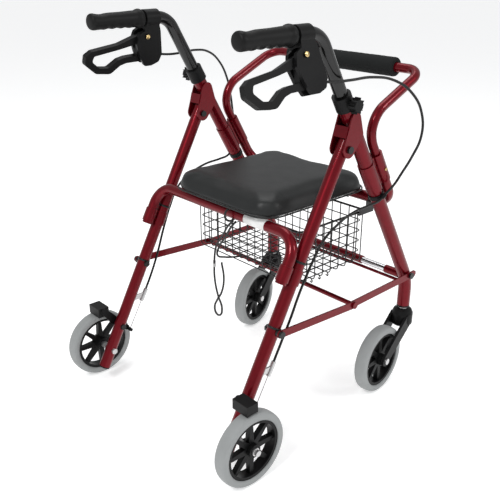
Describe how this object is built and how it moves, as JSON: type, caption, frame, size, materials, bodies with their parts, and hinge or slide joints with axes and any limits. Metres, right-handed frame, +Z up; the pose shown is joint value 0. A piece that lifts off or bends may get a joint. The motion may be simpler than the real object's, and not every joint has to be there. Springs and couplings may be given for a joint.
{
  "type": "rollator walker",
  "caption": "Folding wheeled walking frame with padded seat, foam backrest bar, wire basket, swivelling front casters and loop-lever cable brakes.",
  "frame": {"origin": "on the floor, midway between the two sides and midway between the rearmost and the foremost point", "axes": "+X towards the user's right, +Y forward in the walking direction, +Z up"},
  "size_m": [0.5666, 0.613, 0.808],
  "materials": {
    "red_paint": "glossy metallic dark red lacquer",
    "chrome": "polished",
    "zinc": "zinc plated",
    "brass": "bright",
    "black_plastic": "fine moulded grain",
    "grip_plastic": "soft moulded grip",
    "foam": "closed cell foam with a fine skin",
    "vinyl": "black padded vinyl",
    "tyre": "grey solid rubber",
    "wire_black": "black dip coating",
    "cable": "black cable sleeve",
    "cord": "woven black cord"
  },
  "bodies": {
    "rear_frame": {"rear_leg_left": "red_paint", "rear_leg_right": "red_paint", "rear_leg_plugs": "black_plastic", "rear_sleeves": "red_paint", "rear_seat_tube": "red_paint", "cable_stops": "zinc", "rear_axles": "zinc", "rear_bolts": "zinc", "lower_cables": "cable", "brake_wires": "zinc", "pull_cord": "cord"},
    "front_frame": {"front_leg_left": "red_paint", "front_leg_right": "red_paint", "leg_collars": "black_plastic", "hinge_brackets": "red_paint", "pivot_bolts": "zinc", "front_sleeves": "red_paint", "front_seat_tube": "red_paint", "cross_bar_sleeves": "red_paint", "cross_bar_rod": "chrome", "backrest_tube": "red_paint", "backrest_foam": "foam", "stem_bushes": "black_plastic", "cable_clips": "black_plastic", "upper_cable_left": "cable", "upper_cable_right": "cable", "front_bolts": "zinc", "basket_hangers": "zinc"},
    "front_stay_pair": {"front_stays": "red_paint", "mid_cross_rod": "red_paint"},
    "rear_stay_pair": {"rear_stays": "red_paint"},
    "seat": {"seat_pad": "vinyl", "seat_base": "black_plastic"},
    "basket": {"basket_wires": "wire_black"},
    "button_left": {"snap_button_left": "brass"},
    "handle_left": {"handle_tube_left": "chrome", "grip_left": "grip_plastic", "brake_housing_left": "black_plastic"},
    "lever_left": {"brake_lever_left": "black_plastic"},
    "brake_left": {"brake_arm_left": "black_plastic"},
    "knob_body_left": {"knob_left": "black_plastic"},
    "caster_left": {"caster_fork_left": "black_plastic", "caster_stem_left": "zinc"},
    "front_wheel_left": {"front_tyre_left": "tyre", "front_rim_left": "black_plastic"},
    "rear_wheel_left": {"rear_tyre_left": "tyre", "rear_rim_left": "black_plastic"},
    "button_right": {"snap_button_right": "brass"},
    "handle_right": {"handle_tube_right": "chrome", "grip_right": "grip_plastic", "brake_housing_right": "black_plastic"},
    "lever_right": {"brake_lever_right": "black_plastic"},
    "brake_right": {"brake_arm_right": "black_plastic"},
    "knob_body_right": {"knob_right": "black_plastic"},
    "caster_right": {"caster_fork_right": "black_plastic", "caster_stem_right": "zinc"},
    "front_wheel_right": {"front_tyre_right": "tyre", "front_rim_right": "black_plastic"},
    "rear_wheel_right": {"rear_tyre_right": "tyre", "rear_rim_right": "black_plastic"}
  },
  "joints": [
    {"name": "frame_fold", "type": "hinge", "parent": "rear_frame", "child": "front_frame", "pos_m": [0, 0.042, 0.5798], "axis": [-1, 0, 0], "range_deg": [0, 31.3], "deforming": ["lower_cables", "pull_cord"]},
    {"name": "front_stay_turn", "type": "hinge", "parent": "front_frame", "child": "front_stay_pair", "pos_m": [0, 0.27456, 0.255], "axis": [-1, 0, 0], "range_deg": [0, 52.67]},
    {"name": "rear_stay_turn", "type": "hinge", "parent": "rear_frame", "child": "rear_stay_pair", "pos_m": [0, -0.12935, 0.263], "axis": [1, 0, 0], "range_deg": [0, 35.71]},
    {"name": "seat_lift", "type": "hinge", "parent": "front_frame", "child": "seat", "pos_m": [0, 0.2104, 0.43278], "axis": [-1, 0, 0], "range_deg": [0, 75]},
    {"name": "basket_slide", "type": "slide", "parent": "front_frame", "child": "basket", "axis": [0, 1, 0], "range_m": [0, 0.516]},
    {"name": "handle_height_left", "type": "slide", "parent": "front_frame", "child": "handle_left", "axis": [0, -0.4985, 0.8669], "range_m": [0, 0.125], "deforming": ["upper_cable_left"]},
    {"name": "brake_squeeze_left", "type": "hinge", "parent": "handle_left", "child": "lever_left", "pos_m": [-0.2216, -0.0865, 0.75728], "axis": [-0.9613, 0, 0.2756], "range_deg": [0, 18], "stiffness_Nm_per_rad": 0.6, "springref_deg": -11.46},
    {"name": "brake_arm_left_turn", "type": "hinge", "parent": "rear_frame", "child": "brake_left", "pos_m": [-0.2285, -0.20237, 0.128], "axis": [1, 0, 0], "range_deg": [0, 3.6], "deforming": ["brake_wires"]},
    {"name": "knob_turn_left", "type": "hinge", "parent": "front_frame", "child": "knob_body_left", "pos_m": [-0.2325, 0.04028, 0.66244], "axis": [1, 0, 0], "continuous": true},
    {"name": "button_press_left", "type": "slide", "parent": "front_frame", "child": "button_left", "axis": [1, 0, 0], "range_m": [0, 0.003], "stiffness_N_per_m": 400, "springref_m": -0.002},
    {"name": "caster_swivel_left", "type": "hinge", "parent": "front_frame", "child": "caster_left", "pos_m": [-0.2125, 0.283, 0.172], "axis": [0, 0, 1], "continuous": true},
    {"name": "front_wheel_left_roll", "type": "hinge", "parent": "caster_left", "child": "front_wheel_left", "pos_m": [-0.18817, 0.1922, 0.076], "axis": [0.9659, 0.2588, 0], "continuous": true},
    {"name": "rear_wheel_left_roll", "type": "hinge", "parent": "rear_frame", "child": "rear_wheel_left", "pos_m": [-0.259, -0.2305, 0.076], "axis": [1, 0, 0], "continuous": true},
    {"name": "handle_height_right", "type": "slide", "parent": "front_frame", "child": "handle_right", "axis": [0, -0.4985, 0.8669], "range_m": [0, 0.125], "deforming": ["upper_cable_right"]},
    {"name": "brake_squeeze_right", "type": "hinge", "parent": "handle_right", "child": "lever_right", "pos_m": [0.2216, -0.0865, 0.75728], "axis": [-0.9613, 0, -0.2756], "range_deg": [0, 18], "stiffness_Nm_per_rad": 0.6, "springref_deg": -11.46},
    {"name": "brake_arm_right_turn", "type": "hinge", "parent": "rear_frame", "child": "brake_right", "pos_m": [0.2285, -0.20237, 0.128], "axis": [1, 0, 0], "range_deg": [0, 3.6]},
    {"name": "knob_turn_right", "type": "hinge", "parent": "front_frame", "child": "knob_body_right", "pos_m": [0.2325, 0.04028, 0.66244], "axis": [1, 0, 0], "continuous": true},
    {"name": "button_press_right", "type": "slide", "parent": "front_frame", "child": "button_right", "axis": [-1, 0, 0], "range_m": [0, 0.003], "stiffness_N_per_m": 400, "springref_m": -0.002},
    {"name": "caster_swivel_right", "type": "hinge", "parent": "front_frame", "child": "caster_right", "pos_m": [0.2125, 0.283, 0.172], "axis": [0, 0, 1], "continuous": true},
    {"name": "front_wheel_right_roll", "type": "hinge", "parent": "caster_right", "child": "front_wheel_right", "pos_m": [0.22233, 0.18951, 0.076], "axis": [0.9945, 0.1045, 0], "continuous": true},
    {"name": "rear_wheel_right_roll", "type": "hinge", "parent": "rear_frame", "child": "rear_wheel_right", "pos_m": [0.259, -0.2305, 0.076], "axis": [1, 0, 0], "continuous": true}
  ],
  "couplings": [
    {"joint": "front_stay_turn", "follows": "frame_fold", "ratio": 1.6812},
    {"joint": "rear_stay_turn", "follows": "frame_fold", "ratio": 1.1392},
    {"joint": "basket_slide", "follows": "frame_fold", "m_per_rad": 0.94273},
    {"joint": "brake_arm_left_turn", "follows": "brake_squeeze_left", "ratio": 0.2},
    {"joint": "brake_arm_right_turn", "follows": "brake_squeeze_right", "ratio": 0.2}
  ]
}
